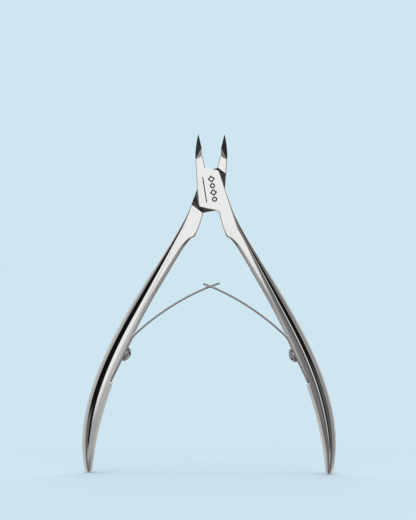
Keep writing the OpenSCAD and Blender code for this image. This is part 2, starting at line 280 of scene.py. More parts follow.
# Stations run along the handle's curve from 0 at the neck to 1 at the end.
BOW_SHARE = 0.695  # drop of the point that pulls the handle into its bow, as a share of the whole
STOP_T = 0.135  # station of the stop
STOP_END = STOP_T + 0.09  # station where the stop has run out
TAPER = 0.8  # station where the handle starts to thin from front to back
NOSE = 0.987  # station where the handle's end starts to round off
NOSE_ROUND = 0.72  # how far the end closes in: 1 would close it to a point
TIP_SHARE = 0.25  # share of the tip's thickness that lies in front of the middle plane
RELIEF_Z = 10.75  # height where the relief below the bevel meets the throat
RELIEF_DEPTH = 0.16  # depth of the relief at the heel of the cutting edge


def line_z(s, distance, side, x):
    """Height of a sloping shoulder line at the given distance from the pivot."""
    return (distance - side * x * math.sin(s.shoulder_tilt)) / math.cos(s.shoulder_tilt)


def handle_edges(s, t):
    """Outer edge of the handle, its outward direction and the handle's width, at stations t."""
    outer_edge = [NECK, (NECK[0] + 1.05, NECK[1] - (s.handle_drop + NECK[1]) / 6),
                  (s.bow_reach, -BOW_SHARE * s.handle_drop), (s.end_reach, -s.handle_drop)]
    d = heading(outer_edge, t)
    outward = np.stack([-d[:, 1], d[:, 0]], 1)
    width = curve([[w] for w in (s.neck_w, s.neck_w, s.waist_w, s.grip_w, s.end_w)], t)[:, 0]
    return curve(outer_edge, t), outward, width


def inner_point(s, t, lift=0.0):
    """Point on the handle's inner edge at station t, lifted inwards by a distance."""
    outer, outward, width = handle_edges(s, np.array([t]))
    return (outer - outward * (width[0] + lift))[0]


def edges_of(s, web):
    """Left and right edge of the head and jaw as two lines of [x, z] points from the tip down, and the
    part of the left edge that runs on along the handle over the stop. The back plate has a fuller web."""
    tip = (-s.edge_gap / 2, s.jaw_rise)
    jaw = curve([tip, (-0.9, s.jaw_rise - 1.45), (-2.2, 12.9), JAW_ROOT], np.linspace(0, 1, 17)[:-1])
    stop = inner_point(s, STOP_T, s.stop_rise)
    run = curve([stop + (0.3, -0.6), inner_point(s, STOP_T + 0.02), inner_point(s, STOP_END)],
                np.linspace(0, 1, 14))
    low_corner = (PLATE_LEFT, -line_z(s, s.plate_low, -1, PLATE_LEFT))
    low_edge = WEB if web else ((0.16, -line_z(s, s.plate_low, -1, 0.16)), CROTCH)
    corners = [JAW_ROOT, (-3.42, 5.62), (-4.21, 0.67), low_corner, *low_edge, stop, run[0]]
    left = rounded(corners, [0, 0, 0, 0.3, 0.15, 0.4, 0.25, 0])
    left = np.vstack([jaw, left, run[1:]])
    top = [(x, line_z(s, s.plate_top, 1, x)) for x in (THROAT_X, PLATE_RIGHT)]
    corners = [tip, (tip[0], s.edge_heel), (-0.55, 10.7), (THROAT_X, 10.4), *top, (4.27, -1.3), NECK]
    right = rounded(corners, [0, 0, 0.1, 0.1, 0.3, 0.3, 0, 0])
    outer, _, _ = handle_edges(s, np.linspace(0.005, 0.06, 12))
    split = np.argmin(np.linalg.norm(left - low_edge[-1], axis=1))
    return left[:split + 1], left[split:], np.vstack([right, outer])


def along_handle(s, points):
    """Station and width that put each point on the inner edge: the station is where the line from the
    outer edge, square to it, passes through the point."""
    t = np.linspace(0, 0.3, 3001)
    outer, outward, _ = handle_edges(s, t)
    rel = points[:, None] - outer[None]
    along = rel[..., 0] * outward[:, 1] - rel[..., 1] * outward[:, 0]
    best = np.argmin(np.abs(along), axis=1)
    width = -(rel[np.arange(len(points)), best] * outward[best]).sum(1)
    return t[best], width


def spaced(*values, least=0.004):
    """The values in one rising row, without those that follow another too closely."""
    row = np.unique(np.concatenate(values))
    return row[np.concatenate([[True], np.diff(row) > least])]


def chords(s, web=False):
    """Both ends of every cross-section of a lever from the tip to the handle end, with its depth, the
    size of its left corners, and the width and depth of the rounding on its right."""
    left, stop_line, right = edges_of(s, web)
    stop_t, stop_w = along_handle(s, stop_line)
    first_outer, _, _ = handle_edges(s, stop_t[:1])
    tilt = first_outer[0, 1] - left[-1, 1]
    # head: the left ends run down the left edge, and the right ends lie a little higher near the handle
    low, high = left[-1, 1], s.jaw_rise - 0.02
    table = np.linspace(low, high, 4000)
    lead = table + tilt * ease((-1 - table) / (-1 - low))
    marks = np.interp(right[:, 1], lead, table)
    z = spaced(left[:, 1], marks, np.linspace(low, high, 56))
    z = z[(z >= low) & (z <= high)][::-1]
    z_right = np.interp(z, table, lead)
    head_l = np.stack([np.interp(-z, -left[:, 1], left[:, 0]), z], 1)
    head_r = np.stack([np.interp(-z_right, -right[:, 1], right[:, 0]), z_right], 1)
    # handle: square to the outer edge
    to_end = NOSE + (1 - NOSE) * np.sin(np.linspace(0, 0.5, 9) * math.pi)
    t = spaced(stop_t[1:], np.linspace(stop_t[0], NOSE, 150)[1:], to_end, least=0.0003)
    outer, out, width = handle_edges(s, t)
    width = np.where(t < STOP_END, np.interp(t, stop_t, stop_w), width)
    nose = np.sqrt(1 - NOSE_ROUND * np.clip((t - NOSE) / (1 - NOSE), 0, 1) ** 2)
    full = width * nose
    start = outer - out * ((width + full) / 2)[:, None]
    depth = HEAD_T + (s.grip_d - HEAD_T) * ease((t - 0.02) / 0.5)
    fall = np.clip((t - TAPER) / (1 - TAPER), 0, 1)
    depth = np.where(t < TAPER, depth, s.end_d + (s.grip_d - s.end_d) * np.sqrt(1 - 0.98 * fall ** 2)) * nose
    chamfer = np.minimum(0.2 + (s.inner_chamfer - 0.2) * ease((t - 0.1) / 0.12), full / 4)
    turn = 0.08 + 0.92 * ease(t / 0.5)
    round_w = (full - chamfer) * turn
    round_d = (depth / 2 - 0.05) * turn
    # the head's roundings run over into the handle's
    run = ease((-1 - z) / (-1 - low))
    w_head = np.linalg.norm(head_r - head_l, axis=1)
    corner = np.minimum(np.where(z > JAW_ROOT[1], 0.26, 0.2), w_head / 4)
    fine = 0.22 - 0.2 * ease((z - 10.4) / 2.2)
    right_w = np.minimum(fine * (1 - run) + round_w[0] * run, w_head / 4)
    right_d = np.minimum(fine * (1 - run) + round_d[0] * run, w_head / 4)
    return SimpleNamespace(
        left=np.vstack([head_l, start]), right=np.vstack([head_r, start + out * full[:, None]]),
        depth=np.concatenate([np.full(len(z), HEAD_T), depth]), corner=np.concatenate([corner, chamfer]),
        round_w=np.concatenate([right_w, round_w]), round_d=np.concatenate([right_d, round_d]))


def corner_line(a, b, c, steps=4):
    """Curve from a to c pulled towards b, as a list of [x, inset] pairs, each an array over stations."""
    rows = []
    for t in np.linspace(0, 1, steps):
        rows.append([a[k] * (1 - t) ** 2 + 2 * b[k] * t * (1 - t) + c[k] * t * t for k in (0, 1)])
    return rows


def section_rings(k, arc=18):
    """Rings of [x, y, z] points round every cross-section. Half a section runs from the flat left side
    over a softened chamfer, across the flat face and round a quarter ellipse to the right side; the
    other half mirrors it in y. The second result is 1 on the narrow edges and 0 elsewhere."""
    w = np.linalg.norm(k.right - k.left, axis=1)
    c, r, b = k.corner, k.round_w, k.round_d
    zero = np.zeros_like(w)
    # f is how far a chamfer's ends are softened and e the step to a support point; q and eq are their
    # shares along each axis on the chamfer
    f = np.minimum(0.1, 0.3 * c)
    e = np.minimum(0.02, 0.02 * w)
    q, eq = f / math.sqrt(2), e / math.sqrt(2)
    half = [[zero, c + f + e]]
    half += corner_line((zero, c + f), (zero, c), (q, c - q))
    half += [[q + eq, c - q - eq], [c - q - eq, q + eq]]
    half += corner_line((c - q, q), (c, zero), (c + f, zero))
    half += [[c + f + e + (w - r - c - f - 2 * e) * m, zero] for m in (0, 0.25, 0.5, 0.75, 1)]
    half += [[w - r + r * math.sin(a), b * (1 - math.cos(a))] for a in np.linspace(0, math.pi / 2, arc)]
    half += [[w, np.minimum(b + e, k.depth / 2 - 0.2 * e)]]
    x = np.stack([p[0] for p in half], 1)
    inset = np.stack([p[1] for p in half], 1)
    y = inset - k.depth[:, None] / 2
    x, y = np.hstack([x, x[:, ::-1]]), np.hstack([y, -y[:, ::-1]])
    along = (k.right - k.left) / w[:, None]
    on_x, on_z = (k.left[:, None, i] + along[:, None, i] * x for i in (0, 1))
    # worn: both ends of the chamfer, and the rounding where it is narrow
    worn = np.zeros(x[:, :len(half)].shape)
    worn[:, 1:5] = worn[:, 7:11] = 1
    worn[:, -arc - 1:-1] = np.clip(1.5 - r, 0, 1)[:, None]
    return np.stack([on_x, y, on_z], 2), np.hstack([worn, worn[:, ::-1]])


# ---- Meshes ---------------------------------------------------------------------------------------


def wall_faces(rows, columns, wrap=False):
    """Four-sided faces between rings of points; with wrap, the last ring is joined to the first."""
    i, j = np.meshgrid(np.arange(rows if wrap else rows - 1), np.arange(columns), indexing="ij")
    here, below = i.ravel() * columns, (i.ravel() + 1) % rows * columns
    j, beside = j.ravel(), (j.ravel() + 1) % columns
    return np.stack([here + j, below + j, below + beside, here + beside], 1).tolist()


def tube_faces(rows, columns):
    """Faces of a closed tube: its wall and a cap on the first and the last ring."""
    last = (rows - 1) * columns
    caps = [list(range(columns)), [last + c for c in range(columns - 1, -1, -1)]]
    return wall_faces(rows, columns) + caps


def signed_volume(points, faces):
    """Volume enclosed by the faces, negative if they point inwards: a sum over fans of triangles."""
    total = 0.0
    by_size = {}
    for face in faces:
        by_size.setdefault(len(face), []).append(face)
    for group in by_size.values():
        f = np.array(group)
        for m in range(1, f.shape[1] - 1):
            a, b, c = points[f[:, 0]], points[f[:, m]], points[f[:, m + 1]]
            total += np.einsum("ij,ij->i", a, np.cross(b, c)).sum() / 6
    return total


def solid(name, points, faces, material, smooth=True):
    """A mesh object, in millimetres, whose faces point outwards."""
    points = np.asarray(points, float).reshape(-1, 3)
    if signed_volume(points, faces) < 0:
        faces = [face[::-1] for face in faces]
    mesh = bpy.data.meshes.new(name)
    mesh.from_pydata(points, [], faces)
    mesh.polygons.foreach_set("use_smooth", np.full(len(mesh.polygons), smooth))
    mesh.materials.append(material)
    mesh.update()
    obj = bpy.data.objects.new(name, mesh)
    bpy.context.scene.collection.objects.link(obj)
    return obj


def tube(name, rings, material, attribute=None):
    """A closed body from rings of points, with an optional number on each point."""
    obj = solid(name, rings, tube_faces(*rings.shape[:2]), material)
    values = np.zeros(rings.shape[:2]) if attribute is None else attribute
    layer = obj.data.attributes.new("worn", "FLOAT", "POINT")
    layer.data.foreach_set("value", values.ravel().astype(np.float32))
    return obj


def slab(name, origin, axes, spans, material):
    """A box cutter: from origin, along three unit axes, between the two distances of each span."""
    signs = np.array([(x, y, z) for z in (0, 1) for y in (0, 1) for x in (0, 1)])
    spans = np.asarray(spans, float)
    distances = spans[[0, 1, 2], signs]
    points = np.asarray(origin, float) + distances @ np.asarray(axes, float)
    faces = [[0, 2, 3, 1], [4, 5, 7, 6], [0, 1, 5, 4], [1, 3, 7, 5], [3, 2, 6, 7], [2, 0, 4, 6]]
    return solid(name, points, faces, material, smooth=False)


def prism(name, outline, low, high, material, origin=(0, 0, 0), axes=((1, 0, 0), (0, 0, 1), (0, 1, 0))):
    """A flat outline, measured along the first two axes, carried from low to high along the third."""
    outline, axes = np.asarray(outline, float), np.asarray(axes, float)
    rings = [origin + outline[:, :1] * axes[0] + outline[:, 1:] * axes[1] + axes[2] * h for h in (low, high)]
    return solid(name, rings, tube_faces(2, len(outline)), material, smooth=False)


def band(name, outer, inner, low, high, material):
    """A closed band between two outlines of [x, z] points, carried in y from low to high."""
    rows = [(outer, low), (outer, high), (inner, high), (inner, low)]
    rings = [np.stack([line[:, 0], np.full(len(line), y), line[:, 1]], 1) for line, y in rows]
    return solid(name, rings, wall_faces(4, len(outer), wrap=True), material, smooth=False)


def lathe(name, profile, origin, axis, material, turns=128):
    """A closed body turned from [radius, height] pairs about an axis, radius zero only at the ends."""
    profile = np.asarray(profile, float)
    axis = np.asarray(axis, float)
    across = np.cross(axis, (0.3, 1, 0.2) if abs(axis[1]) < 0.9 else (1, 0, 0.2))
    across /= np.linalg.norm(across)
    third = np.cross(axis, across)
    a = np.linspace(0, 2 * math.pi, turns, endpoint=False)
    ring = np.cos(a)[:, None] * across + np.sin(a)[:, None] * third
    body = profile[1:-1]
    points = origin + body[:, None, :1] * ring[None] + body[:, None, 1:] * axis
    poles = origin + profile[[0, -1], 1][:, None] * axis
    rows = len(body)
    low, high, top = rows * turns, rows * turns + 1, (rows - 1) * turns
    here = np.arange(turns)
    beside = (here + 1) % turns
    faces = wall_faces(rows, turns)
    faces += np.stack([np.full(turns, low), here, beside], 1).tolist()
    faces += np.stack([np.full(turns, high), top + beside, top + here], 1).tolist()
    return solid(name, np.vstack([points.reshape(-1, 3), poles]), faces, material)


def carve(obj, cutters):
    """Cuts the cutters out of a body, keeps their finish on the cut faces and deletes them."""
    for cutter in cutters:
        cut = obj.modifiers.new(cutter.name, "BOOLEAN")
        cut.operation, cut.object = "DIFFERENCE", cutter
        cut.solver, cut.material_mode = "MANIFOLD", "TRANSFER"
    bpy.context.view_layer.update()
    evaluated = obj.evaluated_get(bpy.context.evaluated_depsgraph_get())
    mesh = bpy.data.meshes.new_from_object(evaluated)
    obj.modifiers.clear()
    old, obj.data = obj.data, mesh
    bpy.data.meshes.remove(old)
    for cutter in cutters:
        bpy.data.meshes.remove(cutter.data)
    return obj


def mark_borders(mesh):
    """Makes every edge sharp where two finishes meet."""
    finish = np.zeros(len(mesh.polygons), np.int32)
    sides = np.zeros(len(mesh.polygons), np.int32)
    edge = np.zeros(len(mesh.loops), np.int32)
    sharp = np.zeros(len(mesh.edges), bool)
    mesh.polygons.foreach_get("material_index", finish)
    mesh.polygons.foreach_get("loop_total", sides)
    mesh.loops.foreach_get("edge_index", edge)
    mesh.edges.foreach_get("use_edge_sharp", sharp)
    of_loop = np.repeat(finish, sides)
    low, high = np.full(len(sharp), 99), np.full(len(sharp), -1)
    np.minimum.at(low, edge, of_loop)
    np.maximum.at(high, edge, of_loop)
    mesh.edges.foreach_set("use_edge_sharp", sharp | (low != high))


CREASE = math.radians(28)  # edges that turn by more than this stay sharp


def place(obj, back=False, turn=0.0):
    """Brings a piece from millimetres about the pivot to its place: turned by an angle, half round the
    upright axis for the back or left side, up to the pivot, and marks its sharp edges."""
    mesh = obj.data
    points = np.zeros(len(mesh.vertices) * 3, np.float32)
    mesh.vertices.foreach_get("co", points)
    points = points.reshape(-1, 3).astype(float)
    points[:, [0, 2]] = turned(points[:, [0, 2]], turn)
    if back:
        points[:, :2] *= -1
    points[:, 2] += PIVOT_Z
    mesh.vertices.foreach_set("co", (points * MM).astype(np.float32).ravel())
    mesh.polygons.foreach_set("use_smooth", np.ones(len(mesh.polygons), bool))
    mesh.set_sharp_from_angle(angle=CREASE)
    mark_borders(mesh)
    mesh.update()
    return obj


def hand_over(obj, body, slot, *nodes):
    """Lets a finished piece ride on its body and stand for its frame nodes."""
    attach(obj, body)
    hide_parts(*nodes)


# ---- Lever: grinding, seats and holes ---------------------------------------------------------------

BIG = 30.0  # reach of the cutters, well past a lever's head
SUNK = 0.05  # how far the pivot screw's head lies below the back face


def half_space(name, point, n, material):
    """A cutter that fills the far side of the plane through a point, square to n."""
    n = unit(n)
    u = unit(np.cross(n, (0.31, 0.52, 0.79)))
    return slab(name, point, (u, np.cross(n, u), n), ((-BIG, BIG), (-BIG, BIG), (0, BIG)), material)


def jaw_cutters(s, side, looks):
    """Front bevel, rear bevel and hollow of a jaw; side is -1 where the edge is on its own plate's side.
    The bevel's plane holds the jaw's heel, its root and the sloping cutting edge."""
    flip = np.array([1, -1 if side > 0 else 1, 1])
    heel = np.array([-s.edge_gap / 2, -FACE, s.edge_heel])
    tip_y = -TIP_SHARE * s.tip_t
    edge = unit([0, tip_y + FACE, s.jaw_rise - s.edge_heel])
    bevel = np.cross([JAW_ROOT[0] - heel[0], 0, JAW_ROOT[1] - heel[2]], edge)
    bevel *= -np.sign(bevel[1])
    rear = np.array([0, s.jaw_rise - s.back_bevel, FACE - tip_y - s.tip_t])
    span = s.edge_land + math.sqrt(2 * s.hollow_r * s.hollow_depth - s.hollow_depth ** 2)
    across = np.array([0, edge[2], -edge[1]])
    start = heel + (s.hollow_r - s.hollow_depth, 0, 0) + across * span - edge * 1.5
    wheel = [(0, 0), (s.hollow_r, 0), (s.hollow_r, 1.5 + s.jaw_rise), (0, 1.5 + s.jaw_rise)]
    root = np.array([JAW_ROOT[0], -FACE, JAW_ROOT[1]])
    relief = np.cross(root - (THROAT_X, -FACE, RELIEF_Z), heel + (0, RELIEF_DEPTH, 0) - root)
    relief *= -np.sign(relief[1])
    return [half_space("relief", root * flip, relief * flip, looks.relief),
            half_space("bevel", heel * flip, bevel * flip, looks.ground),
            half_space("rear_bevel", np.array([0, FACE, s.back_bevel]) * flip, rear * flip, looks.ground),
            lathe("hollow", wheel, start * flip, edge * flip, looks.ground, turns=192)]


def lap_cutter(s, looks):
    """The space that the other lever's plate swings in, between the two shoulder lines."""
    outline = [(x, line_z(s, s.jaw_shoulder, -1, x)) for x in (-BIG, BIG)]
    outline += [(x, -line_z(s, s.handle_shoulder, 1, x)) for x in (BIG, -BIG)]
    return prism("recess", outline, -s.lap_gap / 2, HEAD_T, looks.lap)


def seat_frame(s, p):
    """Point of the spring seat on the handle, the way up along it and the way out of the handle."""
    _, outward, _ = handle_edges(s, np.array([p.seat_station]))
    out = outward[0]
    up = np.array([-out[1], out[0]])
    return inner_point(s, p.seat_station) + out * p.seat_depth, up, out


def seat_cutters(s, p, looks):
    """The flat milled for the leaf's foot, and the hole for its screw."""
    point, up, out = (upright(v) for v in seat_frame(s, p))
    flat = slab("seat", point, (out, (0, 1, 0), up),
                ((-4, 0), (-BIG, BIG), (-p.foot_down - 0.4, p.foot_up + 1.5)), looks.ground)
    return [flat, pin_hole("hole", p.screw_r, -1, p.screw_depth, looks.lap, point, out, turns=48)]


def pin_hole(name, r, low, high, material, origin=(0, 0, 0), axis=(0, 1, 0), turns=96):
    """A round hole along an axis, from low to high; unless told otherwise, along y through the pivot."""
    return lathe(name, [(0, low), (r, low), (r, high), (0, high)], np.asarray(origin), axis, material, turns)


def head_seat(s):
    """How far behind the middle plane the seat of the pivot screw's head lies."""
    return FACE - s.pivot_head_t - SUNK


def engraving_cutters(looks):
    """A plain rule along the plate and, beside it, a column of lozenges and rings. Each mark is a band
    between two circles, of four steps for a lozenge and of forty for a ring."""
    low, high = -FACE - 0.2, -FACE + 0.07
    top, foot = np.array([-2.6, 3.75]), np.array([-1.3, -4.05])
    way = unit(foot - top)
    side = np.array([-way[1], way[0]])
    half = side * 0.33 / 2
    rule = turned([top - half, foot - half, foot + half, top + half], -HALF_OPEN)
    cutters = [prism("rule", rule, low, high, looks.engraved)]
    turn = math.atan2(side[1], side[0])
    for k, reach in enumerate((0.95, 3.05, 5.15, 7.25)):
        radius, width, steps = (1.15, 0.56, 4) if k % 2 == 0 else (0.82, 0.42, 40)
        a = np.linspace(0, 2 * math.pi, steps, endpoint=False)
        circle = np.stack([np.sin(a), np.cos(a)], 1)
        centre = top + way * reach + side * 2.55
        rims = [turned(turned(circle * r, turn) + centre, -HALF_OPEN) for r in (radius, radius - width)]
        cutters.append(band(f"mark_{k}", *rims, low, high, looks.engraved))
    return cutters


def lever(name, s, p, side, looks):
    """One lever with its jaws shut: the swept body less its grinding, recess, seat and holes."""
    rings, worn = section_rings(chords(s, web=side > 0))
    body = tube(name, rings, looks.steel, worn)
    cutters = jaw_cutters(s, side, looks) + [lap_cutter(s, looks)] + seat_cutters(s, p, looks)
    if side < 0:
        cutters.append(pin_hole("thread", s.thread_r, -s.lap_gap / 2 - s.thread_depth, 1, looks.lap))
        cutters += engraving_cutters(looks)
    else:
        cutters.append(pin_hole("shank_hole", s.shank_r + s.running, -FACE - 1, 1, looks.lap))
        cutters.append(pin_hole("head_hole", s.pivot_head_r + s.running, -FACE - 1, -head_seat(s), looks.lap))
    return carve(body, cutters)


# ---- Leaf springs ----------------------------------------------------------------------------------

# Distances from the crossing of the leaves, along a leaf
SLOT_BACK = 1.5  # end of the slot towards the foot
SLOT_FRONT = 1.3  # end of the slot towards the tip
EYE_END = 2.3  # tip of the right leaf
TONGUE_BACK = 1.5  # where the left leaf narrows to its tongue
TONGUE_FRONT = 1.9  # where the tongue ends in its cross head
TONGUE_STEP = 0.24  # length over which the width changes
LEAF_CORNER = 0.5  # radius of the corners of the leaves and of the slot
LEAF_EDGE = 0.12  # radius along the edges of a leaf
SET_REACH = 1.2  # how far from its middle the set is softened


def leaf_path(s, p, beyond):
    """Middle line of a leaf on the right side, open: up the foot, round the set, along the smooth curve
    to the crossing and straight on past it. The second result is the distance run at each point, and
    the third the distance run at the crossing."""
    seat, up, out = seat_frame(s, p)
    seat = seat - out * p.leaf_t / 2
    foot = turned(seat - up * p.foot_down, HALF_OPEN)
    root = turned(seat + up * p.foot_up, HALF_OPEN)
    way = turned(turned(up, HALF_OPEN), p.leaf_set)
    crossing = np.array([0, -p.cross_drop])
    on = np.array([-math.cos(p.cross_slope), math.sin(p.cross_slope)])
    reach = 0.31 * np.linalg.norm(crossing - root)
    bend = [root, root + way * reach, crossing - on * reach, crossing]
    u = np.linspace(0, 1, 60)[:, None]
    arc = curve(bend, np.linspace(0, 1, 110))
    line = np.vstack([foot + (root - foot) * u[:-1], arc, crossing + on * beyond * u[1:]])
    # the set is softened in rounds, each of which moves the points near it towards their neighbours' mean
    near = np.linalg.norm(line - root, axis=1) < SET_REACH
    for _ in range(12):
        mean = (np.roll(line, 1, axis=0) + np.roll(line, -1, axis=0)) / 2
        line = np.where(near[:, None], line + (mean - line) * 0.55, line)
    run = np.concatenate([[0], np.cumsum(np.linalg.norm(np.diff(line, axis=0), axis=1))])
    at_cross = run[np.argmin(np.linalg.norm(line - crossing, axis=1))]
    return line, run, at_cross


def strip_rings(line, run, stations, half_w, thickness, edge):
    """Rings round a strip: the path at each station, half the width to each side in y, half the
    thickness to each side square to the path, and corners rounded by a quarter circle."""
    path = np.stack([np.interp(stations, run, line[:, k]) for k in (0, 1)], 1)
    d = np.gradient(path, stations, axis=0)
    d /= np.linalg.norm(d, axis=1, keepdims=True)
    n = np.stack([-d[:, 1], d[:, 0]], 1)
    # a corner: how far its points lie in from the side and from the face, with a support at each end
    a = np.linspace(0, math.pi / 2, 5)
    reach = edge + 0.02
    in_y = np.concatenate([[0], edge * (1 - np.cos(a)), [reach]])
    in_t = np.concatenate([[reach], edge * (1 - np.sin(a)), [0]])
    # round the strip: up the side at +y from the back face to the front face, across, and down at -y
    w, h = half_w[:, None], thickness / 2
    y = np.hstack([w - in_y[::-1], w - in_y, -(w - in_y[::-1]), -(w - in_y)])
    t = np.concatenate([-(h - in_t[::-1]), h - in_t, h - in_t[::-1], -(h - in_t)])
    return np.stack([path[:, None, 0] + n[:, None, 0] * t, y, path[:, None, 1] + n[:, None, 1] * t], 2)


def slot_cutter(p, looks):
    """The hole through the right leaf that the tongue slides in, square to the leaf at the crossing."""
    slope = np.array([math.cos(p.cross_slope), 0, -math.sin(p.cross_slope)])
    across, half = np.array([0, 1, 0]), p.slot_w / 2
    first = (-SLOT_FRONT, -half)
    corners = [first, (SLOT_BACK, -half), (SLOT_BACK, half), (-SLOT_FRONT, half), first]
    outline = rounded(corners, [0, LEAF_CORNER, LEAF_CORNER, LEAF_CORNER, 0])[1:]
    axes = (slope, across, np.cross(slope, across))
    return prism("slot", outline, -1, 1, looks.spring, (0, 0, -p.cross_drop), axes)


def leaf(name, s, p, tongue, looks):
    """One leaf spring on the right side, foot and blade in one strip: the slot is cut through the right
    one, and the left one narrows to a tongue with a cross head."""
    beyond = TONGUE_FRONT + p.cross_head if tongue else EYE_END
    line, run, cross = leaf_path(s, p, beyond)
    end, corner = run[-1], LEAF_CORNER
    ease_in = corner * (1 - np.cos(np.linspace(0, math.pi / 2, 7)))
    marks = [ease_in, end - ease_in, np.linspace(corner, end - corner, 170)]
    if tongue:
        for mark in (cross - TONGUE_BACK, cross + TONGUE_FRONT):
            marks.append(mark + np.linspace(-0.14, 0.14, 9))
    stations = spaced(*marks, least=1e-4)
    short = corner - np.clip(np.minimum(stations, end - stations), 0, corner)
    half = p.leaf_w / 2 - (corner - np.sqrt(corner ** 2 - short ** 2))
    if tongue:
        starts = ease((stations - cross + TONGUE_BACK) / TONGUE_STEP + 0.5)
        ends = ease((cross + TONGUE_FRONT - stations) / TONGUE_STEP + 0.5)
        half = np.minimum(half, p.leaf_w / 2 + (p.tongue_w - p.leaf_w) / 2 * starts * ends)
    strip = tube(name, strip_rings(line, run, stations, half, p.leaf_t, LEAF_EDGE), looks.spring)
    centre, _, out = (upright(turned(v, HALF_OPEN)) for v in seat_frame(s, p))
    eye = pin_hole("eye", p.screw_r + 0.02, -2, 1, looks.spring, centre, out, turns=48)
    return carve(strip, [eye] if tongue else [slot_cutter(p, looks), eye]), line, run


# ---- Screws ----------------------------------------------------------------------------------------


def driver_slot(s, origin, along, axis, floor, looks):
    """The cutter for a screwdriver slot: it runs along one direction, square to the screw's axis, and
    its floor lies at a height on that axis."""
    spans = ((-BIG, BIG), (-s.driver_slot / 2, s.driver_slot / 2), (floor, 10))
    # the slot's faces take the lap finish, whose near-black colour is painted shade in the slot
    return slab("driver", origin, (along, np.cross(axis, along), axis), spans, looks.lap)


def spring_screw(name, s, p, looks):
    """A round-headed screw on the right seat, open: a domed head, a plain rim, a shank and a slot."""
    seat, up, out = (upright(turned(v, HALF_OPEN)) for v in seat_frame(s, p))
    rim = 0.35 * p.screw_head_h
    dome = p.screw_head_h - rim
    dome_r = (p.screw_head_r ** 2 + dome ** 2) / (2 * dome)
    a = np.linspace(math.asin(p.screw_head_r / dome_r) - 0.02, 0, 22)
    top = np.stack([dome_r * np.sin(a), p.screw_head_h - dome_r * (1 - np.cos(a))], 1)
    low = -p.leaf_t - p.screw_depth
    r = p.screw_head_r
    edge = curve([(r, rim - 0.2), (r, rim), top[0]], np.linspace(0, 1, 6))
    under = curve([(r - 0.12, 0), (r, 0), (r, 0.12)], np.linspace(0, 1, 5))
    thread = [(p.screw_r - 0.1 * (k % 2), low + 0.35 + 0.12 * k) for k in range(24)]
    profile = [(0, low), (0.7, low), (p.screw_r - 0.05, low + 0.3)] + thread
    profile += [(p.screw_r, -0.02), (p.screw_r + 0.05, 0), (r - 0.15, 0), *under, *edge, *top[1:]]
    origin, axis = seat - out * p.leaf_t, -out
    body = lathe(name, profile, origin, axis, looks.screw, turns=96)
    turn = math.radians(35)
    along = up * math.sin(turn) + np.array([0, 1, 0]) * math.cos(turn)
    return carve(body, [driver_slot(s, origin, along, axis, p.screw_head_h - 0.7, looks)])


def pivot_screw(name, s, looks):
    """The pivot screw: thread end in front, shank, and a flat head with softened rim and slot behind."""
    front = -s.lap_gap / 2 - s.thread_depth
    head = head_seat(s)
    back = head + s.pivot_head_t
    r = s.pivot_head_r
    rim = curve([(r, back - 0.2), (r, back), (r - 0.2, back)], np.linspace(0, 1, 6))
    profile = [(0, front), (s.thread_r - 0.2, front), (s.thread_r, front + 0.2), (s.thread_r, -s.lap_gap / 2),
               (s.shank_r - 0.1, -s.lap_gap / 2), (s.shank_r, -s.lap_gap / 2 + 0.1), (s.shank_r, head - 0.02),
               (s.shank_r + 0.04, head), (r - 0.08, head), (r, head + 0.08), (r, back - 0.23)]
    profile += [*rim, (r - 0.23, back), (r * 0.5, back), (r * 0.2, back), (0, back)]
    body = lathe(name, profile, np.zeros(3), (0, 1, 0), looks.screw)
    turn = math.radians(40)
    along = (math.sin(turn), 0, math.cos(turn))
    return carve(body, [driver_slot(s, (0, 0, 0), along, (0, 1, 0), head + s.pivot_head_t / 2, looks)])


# ---- Finishes --------------------------------------------------------------------------------------


def feed(tree, slot, value):
    """Gives an input a link, where the value is another node's output, or else a value of its own."""
    if isinstance(value, bpy.types.NodeSocket):
        tree.links.new(value, slot)
    else:
        slot.default_value = value


def add(tree, kind, **settings):
    """A node of the given kind. Settings that start with in_ feed the input of that name or number; the
    others set the node's own properties."""
    node = tree.nodes.new("ShaderNode" + kind)
    for key, value in settings.items():
        if key.startswith("in_"):
            label = key[3:].replace("_", " ")
            feed(tree, node.inputs[int(label) if label.isdigit() else label], value)
        else:
            setattr(node, key, value)
    return node


def maths(tree, operation, *values):
    """Result of one sum on numbers or sockets."""
    node = add(tree, "Math", operation=operation)
    for slot, value in zip(node.inputs, values):
        feed(tree, slot, value)
    return node.outputs[0]


def effect(name, inputs, outputs):
    """A new node group with named inputs, as (name, kind, default), and outputs, as (name, kind)."""
    group = bpy.data.node_groups.new(name, "ShaderNodeTree")
    for label, kind, default in inputs:
        socket = group.interface.new_socket(label, in_out="INPUT", socket_type="NodeSocket" + kind)
        socket.default_value = default
    for label, kind in outputs:
        group.interface.new_socket(label, in_out="OUTPUT", socket_type="NodeSocket" + kind)
    return group, group.nodes.new("NodeGroupInput").outputs, group.nodes.new("NodeGroupOutput").inputs


VECTOR = ("Vector", "Vector", (0, 0, 0))
MASK = ("Mask", "Float")


def fine_scratches():
    """Hair-fine straight scratches: noise stretched along one axis, kept only where it is highest."""
    group, given, result = effect("fine_scratches", [
        VECTOR, ("Scale", "Float", 3000), ("Stretch", "Float", 0.02), ("Amount", "Float", 0.5)], [MASK])
    parts = add(group, "SeparateXYZ", in_0=given["Vector"]).outputs
    long_way = maths(group, "MULTIPLY", parts[2], given["Stretch"])
    lines = add(group, "CombineXYZ", in_0=parts[0], in_1=parts[1], in_2=long_way).outputs[0]
    noise = add(group, "TexNoise", in_Vector=lines, in_Scale=given["Scale"], in_Detail=2).outputs["Fac"]
    peak = maths(group, "MULTIPLY", maths(group, "SUBTRACT", noise, 0.62), 9)
    line = maths(group, "MINIMUM", maths(group, "MAXIMUM", peak, 0), 1)
    group.links.new(maths(group, "MULTIPLY", line, given["Amount"]), result["Mask"])
    return group


